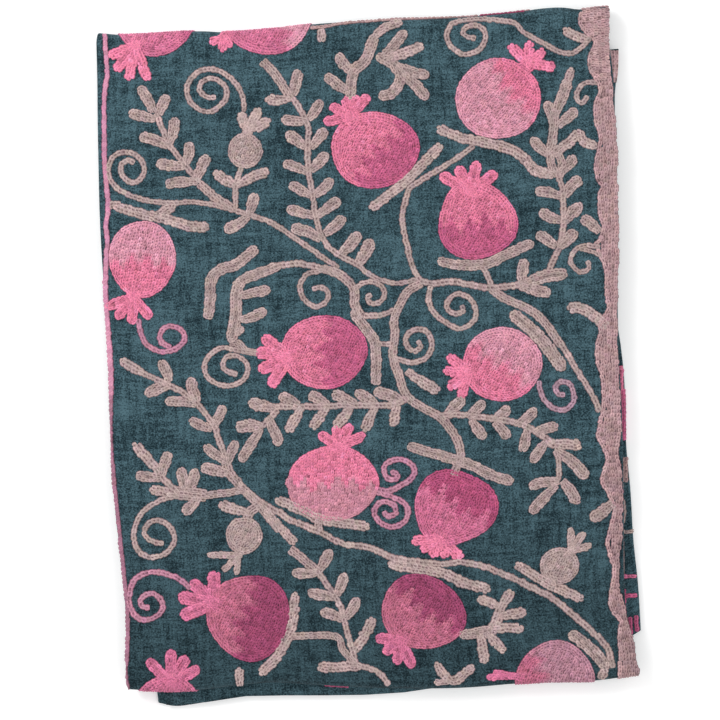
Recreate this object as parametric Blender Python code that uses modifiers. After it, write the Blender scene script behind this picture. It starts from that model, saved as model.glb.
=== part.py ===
# Suzani: one embroidered cloth, folded twice into a flat packet that lies on its underside.
# Metres, +Z up. The origin is under the middle of the packet's box, X runs to the long free
# edge with its stitched band, and Y to the top fold.

import math

import bmesh
import bpy
import numpy as np

MM = 0.001

# The cloth itself. A layer and the gap to the next make one step of the pile.
CLOTH_THICK = 1.1 * MM
LAYER_STEP = 1.7 * MM

# The pile isn't quite level: low, broad waves raise it, each by a share of its height. Across
# and along are in radians a metre.
SWELLS = (
    dict(rise=0.029, across=11.0, along=7.0, start=0.6),
    dict(rise=0.021, across=-13.0, along=9.0, start=2.1),
)

# The underside hollows by a hair towards its middle, so the packet stands on its corners.
HOLLOW = 0.05 * MM
HALF_WIDTH = 180 * MM
HALF_LENGTH = 235 * MM

# Across, the cloth goes back and forth in three layers: out from the free edge to the left
# fold, back to the right fold, and in again to the inner end. That slab then goes round the
# bottom fold with one flap and round the top fold with the other.
LAYERS_DEEP = 2
PILE_TOP = 4 * LAYERS_DEEP * LAYER_STEP
BOTTOM_RADIUS = (LAYERS_DEEP + 0.5) * LAYER_STEP
TOP_RADIUS = 2 * LAYERS_DEEP * LAYER_STEP

# Where each panel's edges lie, in millimetres, a row for each section along Y.
TOP_PANEL = (
    dict(y=-235, left=-178.5, free=178.6, right=176.5, inner=-170),
    dict(y=-213, left=-178.0, free=175.8, right=174.4, inner=-171),
    dict(y=-189, left=-177.0, free=170.8, right=172.9, inner=-170),
    dict(y=-170, left=-177.2, free=167.8, right=172.9, inner=-170),
    dict(y=-157, left=-177.4, free=169.0, right=173.2, inner=-171),
    dict(y=-140, left=-178.7, free=171.5, right=174.1, inner=-171),
    dict(y=-118, left=-180.5, free=172.8, right=175.1, inner=-171),
    dict(y=-98, left=-181.1, free=173.6, right=175.8, inner=-171),
    dict(y=-82, left=-181.5, free=171.9, right=176.3, inner=-171),
    dict(y=-66, left=-181.4, free=174.2, right=176.7, inner=-172),
    dict(y=-38, left=-180.9, free=174.7, right=177.0, inner=-171),
    dict(y=-10, left=-180.3, free=174.7, right=176.6, inner=-171),
    dict(y=18, left=-180.6, free=175.6, right=177.4, inner=-170),
    dict(y=50, left=-181.3, free=178.0, right=178.2, inner=-170),
    dict(y=100, left=-181.8, free=180.0, right=179.6, inner=-171),
    dict(y=142, left=-180.9, free=181.0, right=180.8, inner=-170),
    dict(y=170, left=-180.1, free=179.9, right=182.4, inner=-171),
    dict(y=203, left=-178.9, free=179.3, right=181.0, inner=-170),
    dict(y=229, left=-178.3, free=180.9, right=178.0, inner=-170),
)
INNER_FLAP = (
    dict(y=-235, left=-176.5, free=174.0, right=175.0, inner=-166),
    dict(y=-120, left=-174.5, free=164.0, right=168.5, inner=-170),
    dict(y=20, left=-173.5, free=168.0, right=171.0, inner=-171),
    dict(y=100, left=-172.2, free=176.5, right=174.0, inner=-170),
    dict(y=130, left=-171.6, free=180.2, right=174.8, inner=-169),
    dict(y=152, left=-171.0, free=181.9, right=175.2, inner=-168),
    dict(y=172, left=-170.5, free=183.2, right=175.5, inner=-167),
    dict(y=186, left=-170.0, free=185.8, right=175.8, inner=-167),
    dict(y=203, left=-169.5, free=187.2, right=176.0, inner=-166),
)
UNDER_FLAP = (
    dict(y=229, left=-176.0, free=177.0, right=175.0, inner=-166),
    dict(y=166, left=-176.0, free=170.0, right=177.0, inner=-170),
    dict(y=96, left=-175.5, free=166.0, right=177.0, inner=-171),
    dict(y=30, left=-174.3, free=164.9, right=176.0, inner=-168),
    dict(y=2, left=-173.7, free=164.6, right=176.8, inner=-167),
    dict(y=-24, left=-172.7, free=164.7, right=179.2, inner=-166),
    dict(y=-55, left=-171.3, free=165.2, right=180.3, inner=-164),
    dict(y=-93, left=-169.5, free=165.7, right=179.3, inner=-162),
    dict(y=-134, left=-166.4, free=167.2, right=180.9, inner=-159),
    dict(y=-170, left=-162.5, free=169.0, right=181.2, inner=-156),
    dict(y=-205, left=-160.2, free=170.5, right=183.0, inner=-154),
    dict(y=-241, left=-157.6, free=172.0, right=183.4, inner=-152),
)

# Where the middle of the packet's box comes in the measures of these tables.
MIDDLE = dict(x=2.73, y=-5.20)

# How far the folds and the flaps' ends reach along Y, in millimetres, across the packet.
BOTTOM_FOLD = (
    dict(x=-178, y=-230.2),
    dict(x=-159, y=-232.0),
    dict(x=-127, y=-232.9),
    dict(x=-98, y=-230.8),
    dict(x=-78, y=-230.2),
    dict(x=-50, y=-233.0),
    dict(x=4, y=-238.0),
    dict(x=62, y=-240.4),
    dict(x=90, y=-239.4),
    dict(x=112, y=-238.9),
    dict(x=150, y=-239.8),
    dict(x=179, y=-237.2),
)
TOP_FOLD = (
    dict(x=-178, y=230.6),
    dict(x=-160, y=228.3),
    dict(x=-145, y=228.0),
    dict(x=-120, y=228.3),
    dict(x=-104, y=228.2),
    dict(x=-90, y=226.8),
    dict(x=-70, y=226.8),
    dict(x=-49, y=227.6),
    dict(x=-28, y=229.2),
    dict(x=14, y=230.0),
    dict(x=35, y=230.4),
    dict(x=56, y=229.6),
    dict(x=77, y=229.2),
    dict(x=98, y=229.9),
    dict(x=119, y=231.0),
    dict(x=132, y=232.5),
    dict(x=150, y=232.6),
    dict(x=161, y=230.8),
    dict(x=172, y=231.4),
    dict(x=180, y=231.6),
)
INNER_END = (
    dict(x=-175, y=196.0),
    dict(x=-40, y=199.0),
    dict(x=90, y=198.5),
    dict(x=187, y=202.0),
)
UNDER_END = (
    dict(x=-158, y=-241.0),
    dict(x=-148, y=-243.9),
    dict(x=-128, y=-242.7),
    dict(x=-100, y=-239.6),
    dict(x=-60, y=-240.6),
    dict(x=-30, y=-242.0),
    dict(x=-8, y=-242.6),
    dict(x=14, y=-242.2),
    dict(x=38, y=-239.8),
    dict(x=96, y=-236.0),
    dict(x=140, y=-226.0),
    dict(x=172, y=-214.0),
    dict(x=184, y=-206.0),
)

# Flat stretches and folds of the cloth, and how many steps each takes in the solid.
ACROSS_STEPS = dict(first=12, leftFold=5, second=12, rightFold=5, third=12)
ALONG_STEPS = dict(innerFlap=7, bottomFold=5, topPanel=22, topFold=7, underFlap=14)

CLOTH_COLOUR = (0.034, 0.088, 0.096, 1.0)
CLOTH_ROUGHNESS = 0.9


def smooth_read(table, key, column, at):
    """One column of a table at the places asked for, on a curve through its rows."""
    rows = sorted(table, key=lambda row: row[key])
    xs = np.array([row[key] for row in rows], float) * MM
    ys = np.array([row[column] for row in rows], float) * MM
    slopes = np.gradient(ys, xs)
    at = np.clip(at, xs[0], xs[-1])
    i = np.clip(np.searchsorted(xs, at) - 1, 0, len(xs) - 2)
    span = xs[i + 1] - xs[i]
    f = (at - xs[i]) / span
    start = ys[i] * (1 + 2 * f) * (1 - f) ** 2 + slopes[i] * span * f * (1 - f) ** 2
    end = ys[i + 1] * (3 - 2 * f) * f**2 + slopes[i + 1] * span * (f - 1) * f**2
    return start + end


def stations(steps):
    """Pairs of stretch name and fraction along it, from one end of the cloth to the other."""
    found = []
    for name, count in steps.items():
        for step in range(count):
            found.append((name, step / count))
    found.append((name, 1.0))
    return found


def edges_at(stretch, f):
    """The four edges of the slab at one section, and the section's nominal Y."""
    bottom = TOP_PANEL[0]["y"] * MM
    top = TOP_PANEL[-1]["y"] * MM
    inner_end = INNER_FLAP[-1]["y"] * MM
    under_end = UNDER_FLAP[-1]["y"] * MM
    start, end, y_start, y_end = {
        "innerFlap": (INNER_FLAP, INNER_FLAP, inner_end, bottom),
        "bottomFold": (INNER_FLAP, TOP_PANEL, bottom, bottom),
        "topPanel": (TOP_PANEL, TOP_PANEL, bottom, top),
        "topFold": (TOP_PANEL, UNDER_FLAP, top, top),
        "underFlap": (UNDER_FLAP, UNDER_FLAP, top, under_end),
    }[stretch]
    y = y_start + (y_end - y_start) * f
    ease = f if start is not end else 0.0
    edges = {}
    for name in ("left", "free", "right", "inner"):
        before = smooth_read(start, "y", name, y)
        after = smooth_read(end, "y", name, y)
        edges[name] = before + (after - before) * ease
    return edges


def across(stretch, f, edges):
    """Where a station across the cloth lies: X, and how deep in the slab."""
    r = LAYER_STEP / 2
    left_turn = edges["left"] + CLOTH_THICK / 2 + r
    right_turn = edges["right"] - CLOTH_THICK / 2 - r
    turn = math.pi * f
    if stretch == "first":
        return edges["free"] + (left_turn - edges["free"]) * f, 0.0
    if stretch == "leftFold":
        return left_turn - r * math.sin(turn), r - r * math.cos(turn)
    if stretch == "second":
        return left_turn + (right_turn - left_turn) * f, LAYER_STEP
    if stretch == "rightFold":
        return right_turn + r * math.sin(turn), LAYER_STEP + r - r * math.cos(turn)
    return right_turn + (edges["inner"] - right_turn) * f, LAYERS_DEEP * LAYER_STEP


def along(stretch, f, x, depth):
    """Y and height of a point of the slab that lies this deep under its outer layer."""
    bottom = smooth_read(BOTTOM_FOLD, "x", "y", x) + CLOTH_THICK / 2 + BOTTOM_RADIUS
    top = smooth_read(TOP_FOLD, "x", "y", x) - CLOTH_THICK / 2 - TOP_RADIUS
    turn = math.pi * f
    if stretch == "innerFlap":
        start = smooth_read(INNER_END, "x", "y", x)
        return start + (bottom - start) * f, PILE_TOP - 2 * BOTTOM_RADIUS + depth
    if stretch == "bottomFold":
        r = BOTTOM_RADIUS - depth
        return bottom - r * math.sin(turn), PILE_TOP - BOTTOM_RADIUS - r * math.cos(turn)
    if stretch == "topPanel":
        return bottom + (top - bottom) * f, PILE_TOP - depth
    if stretch == "topFold":
        r = TOP_RADIUS - depth
        return top + r * math.sin(turn), PILE_TOP - TOP_RADIUS + r * math.cos(turn)
    end = smooth_read(UNDER_END, "x", "y", x)
    return top + (end - top) * f, depth


def swell(x, y):
    """How the pile's height at a point compares with its even height."""
    return 1 + sum(
        wave["rise"] * math.sin(wave["across"] * x + wave["along"] * y + wave["start"])
        for wave in SWELLS
    )


def hollow(x, y):
    """How far the packet is off the surface at a point, least at the four corners."""
    return HOLLOW * (1 - (x / HALF_WIDTH) ** 2 * (y / HALF_LENGTH) ** 2)


def folded_cloth():
    """The flat grid of the cloth, each of its points put where the folding takes it."""
    columns = stations(ACROSS_STEPS)
    rows = stations(ALONG_STEPS)
    mesh = bpy.data.meshes.new("folded_cloth")
    bm = bmesh.new()
    bmesh.ops.create_grid(
        bm, x_segments=len(columns) - 1, y_segments=len(rows) - 1, size=0.5
    )
    for vert in bm.verts:
        column = columns[round((vert.co.x + 0.5) * (len(columns) - 1))]
        row = rows[round((vert.co.y + 0.5) * (len(rows) - 1))]
        x, depth = across(*column, edges_at(*row))
        y, height = along(*row, x, depth)
        height = height * swell(x, y) + hollow(x, y) + CLOTH_THICK / 2
        vert.co = (x - MIDDLE["x"] * MM, y - MIDDLE["y"] * MM, height)
    bm.to_mesh(mesh)
    bm.free()
    mesh.shade_smooth()
    return mesh


def cloth_material():
    material = bpy.data.materials.new("teal cotton")
    material.use_nodes = True
    shader = material.node_tree.nodes["Principled BSDF"]
    shader.inputs["Base Color"].default_value = CLOTH_COLOUR
    shader.inputs["Roughness"].default_value = CLOTH_ROUGHNESS
    shader.inputs["Metallic"].default_value = 0.0
    return material


for leftover in list(bpy.data.objects):
    bpy.data.objects.remove(leftover)

suzani = bpy.data.collections.new("suzani")
bpy.context.scene.collection.children.link(suzani)
cloth = bpy.data.objects.new("folded_cloth", folded_cloth())
cloth.data.materials.append(cloth_material())
suzani.objects.link(cloth)
thicken = cloth.modifiers.new("cloth thickness", "SOLIDIFY")
thicken.thickness = CLOTH_THICK
thicken.offset = 0.0
thicken.use_even_offset = True
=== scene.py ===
# A suzani, folded twice and lying flat: teal cotton, covered in hooked chain stitch with
# pomegranates, buds and vines. It is seen from straight above, as in the photo.
import math

import bpy
import numpy as np
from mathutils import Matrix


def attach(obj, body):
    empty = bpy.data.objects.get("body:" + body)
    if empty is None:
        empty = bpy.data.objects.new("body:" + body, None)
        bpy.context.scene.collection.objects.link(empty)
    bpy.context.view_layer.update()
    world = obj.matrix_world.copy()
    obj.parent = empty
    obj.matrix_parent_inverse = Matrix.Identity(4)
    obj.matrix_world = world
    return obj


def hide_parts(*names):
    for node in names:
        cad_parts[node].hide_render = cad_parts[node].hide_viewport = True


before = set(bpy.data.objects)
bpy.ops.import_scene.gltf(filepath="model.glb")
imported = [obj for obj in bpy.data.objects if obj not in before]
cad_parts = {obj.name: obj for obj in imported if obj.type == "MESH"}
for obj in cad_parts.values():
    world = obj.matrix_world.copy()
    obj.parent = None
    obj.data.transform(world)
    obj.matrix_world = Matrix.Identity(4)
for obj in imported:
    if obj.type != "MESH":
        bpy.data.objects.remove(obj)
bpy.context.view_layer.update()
mm = 0.001
rng = np.random.default_rng(7)

# The photo over the packet: the pixel at its middle, a pixel's size and the packet's turn.
photo = {"middleX": 366.0, "middleY": 349.0, "pixel": 0.7 * mm, "turn": math.radians(2.75)}
px = photo["pixel"]


def fromPhoto(points):
    # pixels right and down become metres along the packet's own X and Y
    points = np.asarray(points, float)
    right = (points[..., 0] - photo["middleX"]) * px
    up = (photo["middleY"] - points[..., 1]) * px
    c, s = math.cos(photo["turn"]), math.sin(photo["turn"])
    return np.stack([c * right + s * up, c * up - s * right], -1)


# the folding, as in the solid
cloth = {
    "thick": 1.1 * mm,
    "step": 1.7 * mm,
    "middle": (2.73 * mm, -5.20 * mm),
    "swells": ((0.029, 11.0, 7.0, 0.6), (0.021, -13.0, 9.0, 2.1)),
    "flat": (1.06, 1.34),
    # cells of the mesh and mean flat length, across and along, of each stretch
    "across": (116, 8, 16, 8, 12),
    "along": (14, 12, 150, 16, 34),
    "wide": np.array([352, 2.7, 352, 2.7, 345]) * mm,
    "long": np.array([430, 13.4, 455, 21.4, 460]) * mm,
    # creases lift only what lies above the first height, in full from the second height on
    "creased": (8.8 * mm, 10.1 * mm),
}
# the stretches' numbers across, then along
firstPanel, leftFold, secondPanel, rightFold, thirdPanel = range(5)
innerPart, bottomTurn, topPart, topTurn, underPart = range(5)
pileTop = 8 * cloth["step"]
bottomRadius = 2.5 * cloth["step"]
topRadius = 4 * cloth["step"]
sideRadius = cloth["step"] / 2
# each panel's edges in millimetres: a row has its y, then left fold, free edge, right fold
# and inner end
topPanel = (
    (-235, -178.5, 178.6, 176.5, -170), (-213, -178, 175.8, 174.4, -171),
    (-189, -177, 170.8, 172.9, -170), (-170, -177.2, 167.8, 172.9, -170),
    (-157, -177.4, 169, 173.2, -171), (-140, -178.7, 171.5, 174.1, -171),
    (-118, -180.5, 172.8, 175.1, -171), (-98, -181.1, 173.6, 175.8, -171),
    (-82, -181.5, 171.9, 176.3, -171), (-66, -181.4, 174.2, 176.7, -172),
    (-38, -180.9, 174.7, 177, -171), (-10, -180.3, 174.7, 176.6, -171),
    (18, -180.6, 175.6, 177.4, -170), (50, -181.3, 178, 178.2, -170),
    (100, -181.8, 180, 179.6, -171), (142, -180.9, 181, 180.8, -170),
    (170, -180.1, 179.9, 182.4, -171), (203, -178.9, 179.3, 181, -170),
    (229, -178.3, 180.9, 178, -170),
)
innerFlap = (
    (-235, -176.5, 174, 175, -166), (-120, -174.5, 164, 168.5, -170),
    (20, -173.5, 168, 171, -171), (100, -172.2, 176.5, 174, -170),
    (130, -171.6, 180.2, 174.8, -169), (152, -171, 181.9, 175.2, -168),
    (172, -170.5, 183.2, 175.5, -167), (186, -170, 185.8, 175.8, -167),
    (203, -169.5, 187.2, 176, -166),
)
underFlap = (
    (-241, -157.6, 172, 183.4, -152), (-205, -160.2, 170.5, 183, -154),
    (-170, -162.5, 169, 181.2, -156), (-134, -166.4, 167.2, 180.9, -159),
    (-93, -169.5, 165.7, 179.3, -162), (-55, -171.3, 165.2, 180.3, -164),
    (-24, -172.7, 164.7, 179.2, -166), (2, -173.7, 164.6, 176.8, -167),
    (30, -174.3, 164.9, 176, -168), (96, -175.5, 166, 177, -171),
    (166, -176, 170, 177, -170), (229, -176, 177, 175, -166),
)
# how far the folds and the flaps' ends reach: x, then y
bottomFold = (
    (-178, -230.2), (-159, -232.0), (-127, -232.9), (-98, -230.8), (-78, -230.2), (-50, -233.0),
    (4, -238.0), (62, -240.4), (90, -239.4), (112, -238.9), (150, -239.8), (179, -237.2),
)
topFold = (
    (-178, 230.6), (-160, 228.3), (-145, 228.0), (-120, 228.3), (-104, 228.2), (-90, 226.8),
    (-70, 226.8), (-49, 227.6), (-28, 229.2), (14, 230.0), (35, 230.4), (56, 229.6),
    (77, 229.2), (98, 229.9), (119, 231.0), (132, 232.5), (150, 232.6), (161, 230.8),
    (172, 231.4), (180, 231.6),
)
innerEnd = ((-175, 196.0), (-40, 199.0), (90, 198.5), (187, 202.0))
underEnd = (
    (-158, -241.0), (-148, -243.9), (-128, -242.7), (-100, -239.6), (-60, -240.6), (-30, -242.0),
    (-8, -242.6), (14, -242.2), (38, -239.8), (96, -236.0), (140, -226.0), (172, -214.0),
    (184, -206.0),
)


def readTable(table, column, at):
    # a column at the places asked for, on a smooth curve through the table's rows
    rows = np.array(table, float) * mm
    xs, ys = rows[:, 0], rows[:, column]
    slopes = np.gradient(ys, xs)
    at = np.clip(at, xs[0], xs[-1])
    i = np.clip(np.searchsorted(xs, at) - 1, 0, len(xs) - 2)
    span = xs[i + 1] - xs[i]
    f = (at - xs[i]) / span
    start = ys[i] * (1 + 2 * f) * (1 - f) ** 2 + slopes[i] * span * f * (1 - f) ** 2
    end = ys[i + 1] * (3 - 2 * f) * f**2 + slopes[i + 1] * span * (f - 1) * f**2
    return start + end


def bottomLine(x):
    return readTable(bottomFold, 1, x) + cloth["thick"] / 2 + bottomRadius


def topLine(x):
    return readTable(topFold, 1, x) - cloth["thick"] / 2 - topRadius


def sectionEdges(along, f):
    # left fold's turn, free edge, right fold's turn and inner end at each place along
    bottom, top = topPanel[0][0] * mm, topPanel[-1][0] * mm
    parts = {
        innerPart: (innerFlap, innerFlap, innerFlap[-1][0] * mm, bottom),
        bottomTurn: (innerFlap, topPanel, bottom, bottom),
        topPart: (topPanel, topPanel, bottom, top),
        topTurn: (topPanel, underFlap, top, top),
        underPart: (underFlap, underFlap, top, underFlap[0][0] * mm),
    }
    edges = np.zeros((4,) + np.shape(along))
    for code, (start, end, yStart, yEnd) in parts.items():
        here = along == code
        y = yStart + (yEnd - yStart) * f[here]
        for column in range(4):
            before = readTable(start, column + 1, y)
            after = readTable(end, column + 1, y)
            edges[column][here] = before + (after - before) * (f[here] if start is not end else 0)
    edges[0] += cloth["thick"] / 2 + sideRadius
    edges[2] -= cloth["thick"] / 2 + sideRadius
    return edges


# soft ridges of the top panel: from, to (photo pixels), height and half-width in millimetres;
# each swings a little to the sides on its way and fades out past its ends
creaseSwing = {"far": 1.5 * mm, "step": 13 * mm, "fade": 9 * mm}
creases = (
    ((196, 600), (213, 690), 0.7, 3.0),
    ((213, 640), (262, 690), 0.45, 2.5),
    ((232, 683), (300, 672), 0.8, 4.0),
    ((290, 676), (520, 672), 0.55, 3.0),
    ((330, 689), (420, 684), 0.7, 3.0),
    ((415, 30), (440, 300), 0.25, 5.0),
    ((300, 120), (300, 420), 0.22, 6.0),
    ((130, 330), (560, 318), 0.3, 5.0),
    ((560, 480), (612, 560), 0.5, 4.0),
    ((590, 90), (604, 330), 0.4, 5.0),
    ((120, 420), (150, 640), 0.3, 5.0),
    ((470, 560), (560, 660), 0.35, 5.0),
)


def creaseLift(x, y):
    # each ridge is a bell across its line
    lift = np.zeros(np.shape(x))
    for start, end, height, halfWidth in creases:
        (ax, ay), (bx, by) = fromPhoto([start, end])
        length = math.hypot(bx - ax, by - ay)
        tx, ty = (bx - ax) / length, (by - ay) / length
        s = (x - ax) * tx + (y - ay) * ty
        off = (y - ay) * tx - (x - ax) * ty
        off = off + creaseSwing["far"] * np.sin(s / creaseSwing["step"])
        past = np.maximum(0, np.maximum(-s, s - length)) / creaseSwing["fade"]
        lift += height * mm * np.exp(-((off / (halfWidth * mm)) ** 2) - past**2)
    return lift


def fold(across, fa, along, fb, h):
    # from stretch and fraction across and along, and height over the cloth's middle, to where
    # the folding takes it: first the side folds give x and depth in the slab, then the folds
    # along turn that depth round the bottom and the top
    across, fa, along, fb, h = np.broadcast_arrays(across, fa, along, fb, h)
    left, free, right, inner = sectionEdges(along, fb)
    step, r = cloth["step"], sideRadius
    turn = math.pi * fa
    stretch = [across == code for code in (firstPanel, leftFold, secondPanel, rightFold)]
    x = np.select(
        stretch,
        [
            free + (left - free) * fa,
            left - (r + h) * np.sin(turn),
            left + (right - left) * fa,
            right + (r - h) * np.sin(turn),
        ],
        right + (inner - right) * fa,
    )
    depth = np.select(
        stretch,
        [-h, r - (r + h) * np.cos(turn), step + h, step + r - (r - h) * np.cos(turn)],
        2 * step - h,
    )
    bottom, top = bottomLine(x), topLine(x)
    turn = math.pi * fb
    stretch = [along == code for code in (innerPart, bottomTurn, topPart, topTurn)]
    y = np.select(
        stretch,
        [
            readTable(innerEnd, 1, x) * (1 - fb) + bottom * fb,
            bottom - (bottomRadius - depth) * np.sin(turn),
            bottom + (top - bottom) * fb,
            top + (topRadius - depth) * np.sin(turn),
        ],
        top + (readTable(underEnd, 1, x) - top) * fb,
    )
    z = np.select(
        stretch,
        [
            pileTop - 2 * bottomRadius + depth,
            pileTop - bottomRadius - (bottomRadius - depth) * np.cos(turn),
            pileTop - depth,
            pileTop - topRadius + (topRadius - depth) * np.cos(turn),
        ],
        depth,
    )
    swell = 1 + sum(rise * np.sin(a * x + b * y + c) for rise, a, b, c in cloth["swells"])
    low, full = cloth["creased"]
    high = np.clip((z - low) / (full - low), 0, 1)
    z = z * swell + cloth["thick"] / 2 + creaseLift(x, y) * high * high * (3 - 2 * high)
    return np.stack([x - cloth["middle"][0], y - cloth["middle"][1], z], -1)


def onTop(x, y, h):
    # a place on the top panel's own plane, carried on round the folds past its edges
    x, y, h = np.broadcast_arrays(x, y, h)
    bottom, top = bottomLine(x), topLine(x)
    below, above = (bottom - y) / bottomRadius, (y - top) / topRadius
    beyond = [below > math.pi, below > 0, above > math.pi, above > 0]
    along = np.select(beyond, [innerPart, bottomTurn, underPart, topTurn], topPart)
    fb = np.select(
        beyond,
        [
            1 - (below - math.pi) * bottomRadius / cloth["long"][innerPart],
            1 - below / math.pi,
            (above - math.pi) * topRadius / cloth["long"][underPart],
            above / math.pi,
        ],
        (y - bottom) / (top - bottom),
    )
    left, free = sectionEdges(along, fb)[:2]
    across = np.where(x < left, leftFold, firstPanel)
    fa = np.where(x < left, np.clip((left - x) / (sideRadius * math.pi), 0, 1),
                  (free - x) / (free - left))
    return fold(across, fa, along, fb, h)


def unroll(points):
    # what the photo shows near the top and bottom folds is foreshortened, so it is laid out
    # flat by the arc it covers
    x, y = points[:, 0], points[:, 1]
    for line, radius, sign in ((topLine(x), topRadius, 1), (bottomLine(x), bottomRadius, -1)):
        over = (y - line) * sign
        outer = radius + cloth["thick"] / 2
        arc = np.arcsin(np.clip(over / outer, 0, 0.995)) * radius + np.maximum(0, over - outer)
        y = np.where(over > 0, line + sign * arc, y)
    return np.stack([x, y], -1)


def linear(code, alpha=1.0):
    # an sRGB hex value as linear red, green, blue and alpha
    parts = [int(code[i : i + 2], 16) / 255 for i in (1, 3, 5)]
    return [c / 12.92 if c <= 0.04045 else ((c + 0.055) / 1.055) ** 2.4 for c in parts] + [alpha]


def setInputs(tree, target, inputs):
    # an input's value may be a plain value or another node's socket
    for name, value in inputs.items():
        if isinstance(value, bpy.types.NodeSocket):
            tree.links.new(value, target.inputs[name])
        else:
            target.inputs[name].default_value = value


def node(tree, kind, settings=None, inputs=None):
    added = tree.nodes.new(kind)
    for name, value in (settings or {}).items():
        setattr(added, name, value)
    setInputs(tree, added, inputs or {})
    return added


def waves(tree, place, direction, spacing, distortion, fine):
    # bands this far apart; a wave texture's scale of 0.314 gives bands one unit apart
    return node(tree, "ShaderNodeTexWave", {"bands_direction": direction},
                {"Vector": place, "Scale": 0.314 / spacing, "Distortion": distortion,
                 "Detail": 2.0, "Detail Scale": fine}).outputs["Fac"]


def noise(tree, place, scale, detail, roughness, distortion=0.0):
    return node(tree, "ShaderNodeTexNoise", None,
                {"Vector": place, "Scale": scale, "Detail": detail, "Roughness": roughness,
                 "Distortion": distortion}).outputs["Fac"]


def weighted(tree, start, shares):
    # the start, and each part times its share
    total = start
    for share, part in shares:
        added = node(tree, "ShaderNodeMath", {"operation": "MULTIPLY_ADD"},
                     {0: part, 1: share, 2: total})
        total = added.outputs[0]
    return total


def bumped(tree, bump, height, below=None):
    strength, distance = bump
    inputs = {"Strength": strength, "Distance": distance, "Height": height}
    if below:
        inputs["Normal"] = below
    return node(tree, "ShaderNodeBump", None, inputs).outputs["Normal"]


def newMaterial(name):
    material = bpy.data.materials.new(name)
    material.use_nodes = True
    tree = material.node_tree
    return material, tree, tree.nodes["Principled BSDF"]


# the ground's look; a streak has its stretch across, along and up, its turn and its share, a
# noise its scale, detail, roughness and distortion, and a bump its strength and height
ground = {
    "dark": "#13262d",
    "light": "#4f6c76",
    "tones": (0.36, 0.72),
    "drawn": (1.1 * mm, 1.2 * mm),
    "unevenThreads": (2.4, 1.5),
    "streakNoise": (1.0, 3.0, 0.65),
    "cloudNoise": (30.0, 4.0, 0.6, 0.6),
    "grainNoise": (840.0, 2.0, 0.8),
    "pucker": (0.7, 3 * mm),
    "rough": (0.5, 0.35 * mm),
    "streaks": (
        ((42.0, 480.0, 1.0), 0.03, 0.10),
        ((520.0, 38.0, 1.0), -0.02, 0.10),
        ((55.0, 300.0, 1.0), 0.75, 0.52),
        ((260.0, 50.0, 1.0), 0.45, 0.52),
    ),
    "cloud": 0.40,
    "grain": 1.30,
    "weave": 0.05,
    "start": -0.99,
    "bottomFold": 0.44,
    "darkUpTo": 0.17,
    "darkest": 0.64,
    "surface": {"Roughness": 0.95, "Specular IOR Level": 0.15, "Sheen Weight": 0.04},
}


def groundMaterial():
    # plain-weave cotton, dyed teal: matt, with slubs both ways and single threads that catch
    # the light, so that it looks dark and flecked
    material, tree, shader = newMaterial("teal plain-weave cotton")
    place = node(tree, "ShaderNodeUVMap", {"uv_map": "flat"}).outputs["UV"]
    # threads are 0.45 mm apart, drawn wider to show in the render
    warp, weft = (waves(tree, place, direction, spacing, *ground["unevenThreads"])
                  for direction, spacing in zip("XY", ground["drawn"]))
    weave = node(tree, "ShaderNodeMath", {"operation": "MAXIMUM"}, {0: warp, 1: weft})
    # slubs, thick places 2 mm wide and 25 mm long along and across, and slanting streaks where
    # the cloth is brushed and creased
    shares = []
    for stretch, turned, share in ground["streaks"]:
        laid = node(tree, "ShaderNodeMapping", None,
                    {"Vector": place, "Scale": stretch, "Rotation": (0, 0, turned)})
        shares.append((share, noise(tree, laid.outputs["Vector"], *ground["streakNoise"])))
    cloud = noise(tree, place, *ground["cloudNoise"])
    grain = noise(tree, place, *ground["grainNoise"])
    shares += [(ground["cloud"], cloud), (ground["grain"], grain),
               (ground["weave"], weave.outputs[0])]
    # noises lie round 0.5, and the start brings their sum back to about that
    mixed = weighted(tree, ground["start"], shares)
    ramp = node(tree, "ShaderNodeValToRGB", None, {"Fac": mixed})
    for element, position, code in zip(ramp.color_ramp.elements, ground["tones"],
                                       (ground["dark"], ground["light"])):
        element.position = position
        element.color = linear(code)
    # the cloth puckers between the motifs, in hollows 40 mm across
    pucker = bumped(tree, ground["pucker"], cloud)
    normal = bumped(tree, ground["rough"], mixed, pucker)
    # it is darker near the bottom fold, most at the fold itself
    along = node(tree, "ShaderNodeSeparateXYZ", None, {"Vector": place})
    away = node(tree, "ShaderNodeMath", {"operation": "SUBTRACT"},
                {0: along.outputs["Y"], 1: ground["bottomFold"]})
    away = node(tree, "ShaderNodeMath", {"operation": "ABSOLUTE"}, {0: away.outputs[0]})
    foldDarkening = node(tree, "ShaderNodeMapRange", None,
                 {"Value": away.outputs[0], "From Max": ground["darkUpTo"],
                  "To Min": ground["darkest"]})
    dyed = node(tree, "ShaderNodeVectorMath", {"operation": "SCALE"},
                {0: ramp.outputs["Color"], "Scale": foldDarkening.outputs["Result"]})
    setInputs(tree, shader, {"Base Color": dyed.outputs[0], "Normal": normal,
                             **ground["surface"]})
    return material


# the thread's look: how far apart its plies cross, what they and the fibres add to its tone,
# and over what length of yarn the links are strewn
yarn = {
    "ply": 0.9 * mm,
    "unevenPlies": (2.5, 2.0),
    "fibreNoise": (620.0, 3.0, 0.8),
    "rough": (0.5, 0.25 * mm),
    "strewn": 50 * mm,
    "plyShare": 0.20,
    "fibreShare": 1.10,
    "start": 0.37,
    # the tint of the painted shade in the loops' open middles and along the links' edges
    "hollow": (0.15, 0.08, 0.11),
    "surface": {"Roughness": 0.88, "Specular IOR Level": 0.2, "Sheen Weight": 0.12},
}


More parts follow.
